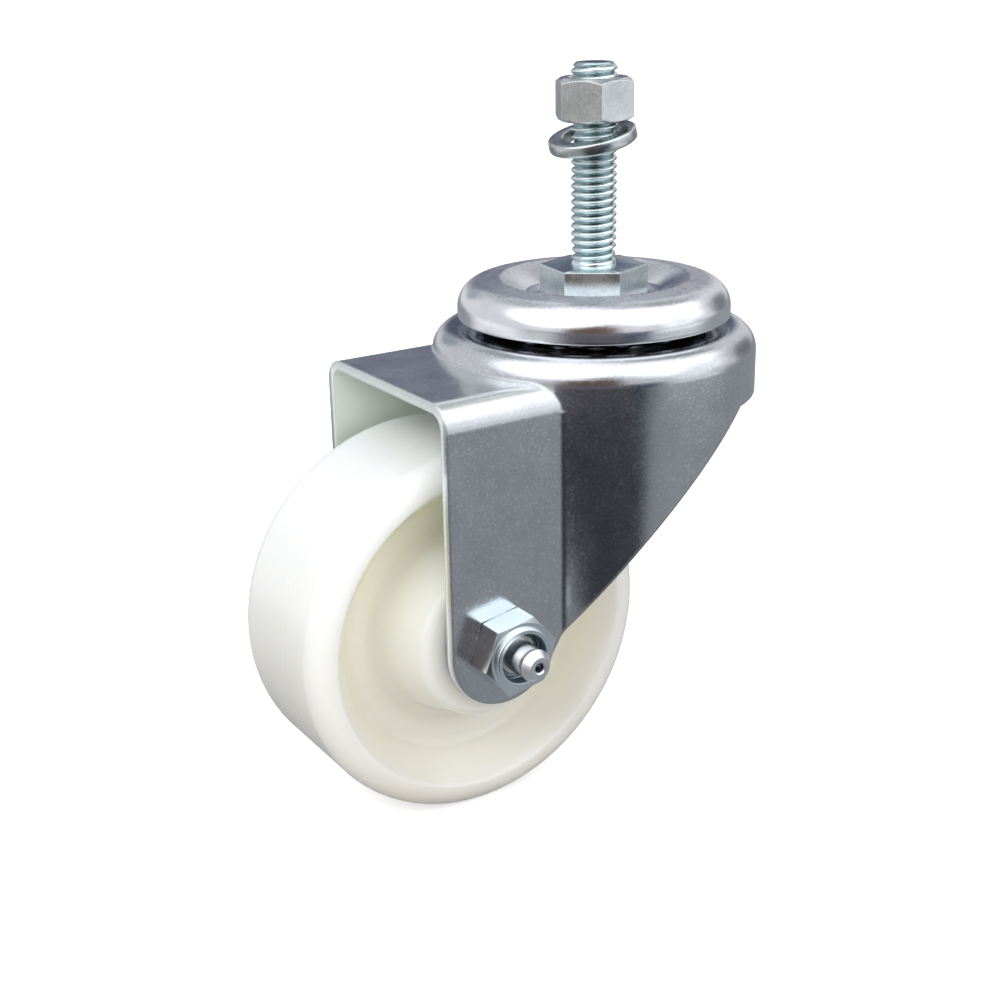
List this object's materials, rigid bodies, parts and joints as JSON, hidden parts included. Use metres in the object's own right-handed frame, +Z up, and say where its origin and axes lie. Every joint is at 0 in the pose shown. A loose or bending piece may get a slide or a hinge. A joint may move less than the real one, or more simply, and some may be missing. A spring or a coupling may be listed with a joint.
{
  "type": "threaded stem castor",
  "caption": "Swivel castor with a threaded stem, nut and lock washer, a pressed steel fork over a ball race and a white nylon wheel on a greased roller bearing",
  "frame": {"origin": "on the swivel axis, in the plane of the hex collar's top, where the stem's shoulder meets what the castor is fixed to", "axes": "+Z runs up the stem, the wheel trails towards -X, and the axle lies along Y with its grease fitting on the -Y side"},
  "size_m": [0.1093, 0.0683, 0.1445],
  "materials": {
    "threaded_stem": "bright clear zinc plate over a rolled thread",
    "top_cap": "bright zinc plate on pressed sheet",
    "lower_race": "zinc plate with a film of grease",
    "upper_balls": "polished hardened steel with a film of grease",
    "lower_balls": "polished hardened steel with a film of grease",
    "fork": "clear zinc plate on pressed sheet, fine satin grain",
    "stem_nut": "bright clear zinc plate",
    "lock_washer": "zinc-plated spring steel",
    "wheel": "moulded milky white nylon, slightly translucent",
    "bearing_sleeve": "ground steel",
    "roller_cage": "stamped steel",
    "rollers": "ground steel with a film of grease",
    "bearing_bush": "ground steel",
    "thrust_washer_near": "steel",
    "thrust_washer_far": "steel",
    "axle_bolt": "bright clear zinc plate",
    "axle_nut": "bright clear zinc plate",
    "nut_insert": "dark blue nylon ring",
    "grease_fitting": "bright zinc plate",
    "check_ball": "polished steel",
    "grease_spring": "spring wire"
  },
  "bodies": {
    "stem": {"threaded_stem": "threaded_stem", "top_cap": "top_cap", "lower_race": "lower_race"},
    "washer": {"lock_washer": "lock_washer"},
    "nut": {"stem_nut": "stem_nut"},
    "yoke": {"fork": "fork", "axle_bolt": "axle_bolt", "axle_nut": "axle_nut", "nut_insert": "nut_insert", "grease_fitting": "grease_fitting", "grease_spring": "grease_spring", "bearing_bush": "bearing_bush", "thrust_washer_near": "thrust_washer_near", "thrust_washer_far": "thrust_washer_far"},
    "valve": {"check_ball": "check_ball"},
    "roller_set": {"roller_cage": "roller_cage", "rollers": "rollers"},
    "wheel": {"wheel": "wheel", "bearing_sleeve": "bearing_sleeve"},
    "upper_ball_set": {"upper_balls": "upper_balls"},
    "lower_ball_set": {"lower_balls": "lower_balls"}
  },
  "joints": [
    {"name": "washer_slide", "type": "slide", "parent": "stem", "child": "washer", "axis": [0, 0, 1], "range_m": [-0.0206, 0.0095]},
    {"name": "nut_turn", "type": "hinge", "parent": "washer", "child": "nut", "pos_m": [0, 0, 0.03], "axis": [0, 0, 1], "range_deg": [-4680, 2160]},
    {"name": "swivel", "type": "hinge", "parent": "stem", "child": "yoke", "pos_m": [0, 0, 0], "axis": [0, 0, 1], "continuous": true},
    {"name": "upper_ball_orbit", "type": "hinge", "parent": "stem", "child": "upper_ball_set", "pos_m": [0, 0, 0], "axis": [0, 0, 1], "continuous": true},
    {"name": "lower_ball_orbit", "type": "hinge", "parent": "stem", "child": "lower_ball_set", "pos_m": [0, 0, 0], "axis": [0, 0, 1], "continuous": true},
    {"name": "wheel_spin", "type": "hinge", "parent": "yoke", "child": "wheel", "pos_m": [-0.0378, 0, -0.0667], "axis": [0, 1, 0], "continuous": true},
    {"name": "roller_orbit", "type": "hinge", "parent": "yoke", "child": "roller_set", "pos_m": [-0.0378, 0, -0.0667], "axis": [0, 1, 0], "continuous": true},
    {"name": "check_ball_slide", "type": "slide", "parent": "yoke", "child": "valve", "axis": [0, 1, 0], "range_m": [0, 0.0008], "stiffness_N_per_m": 150, "springref_m": -0.0004, "deforming": ["grease_spring"]}
  ],
  "couplings": [
    {"joint": "nut_turn", "follows": "washer_slide", "rad_per_m": 3957.9},
    {"joint": "upper_ball_orbit", "follows": "swivel", "ratio": 0.5},
    {"joint": "lower_ball_orbit", "follows": "swivel", "ratio": 0.5},
    {"joint": "roller_orbit", "follows": "wheel_spin", "ratio": 0.5981}
  ]
}
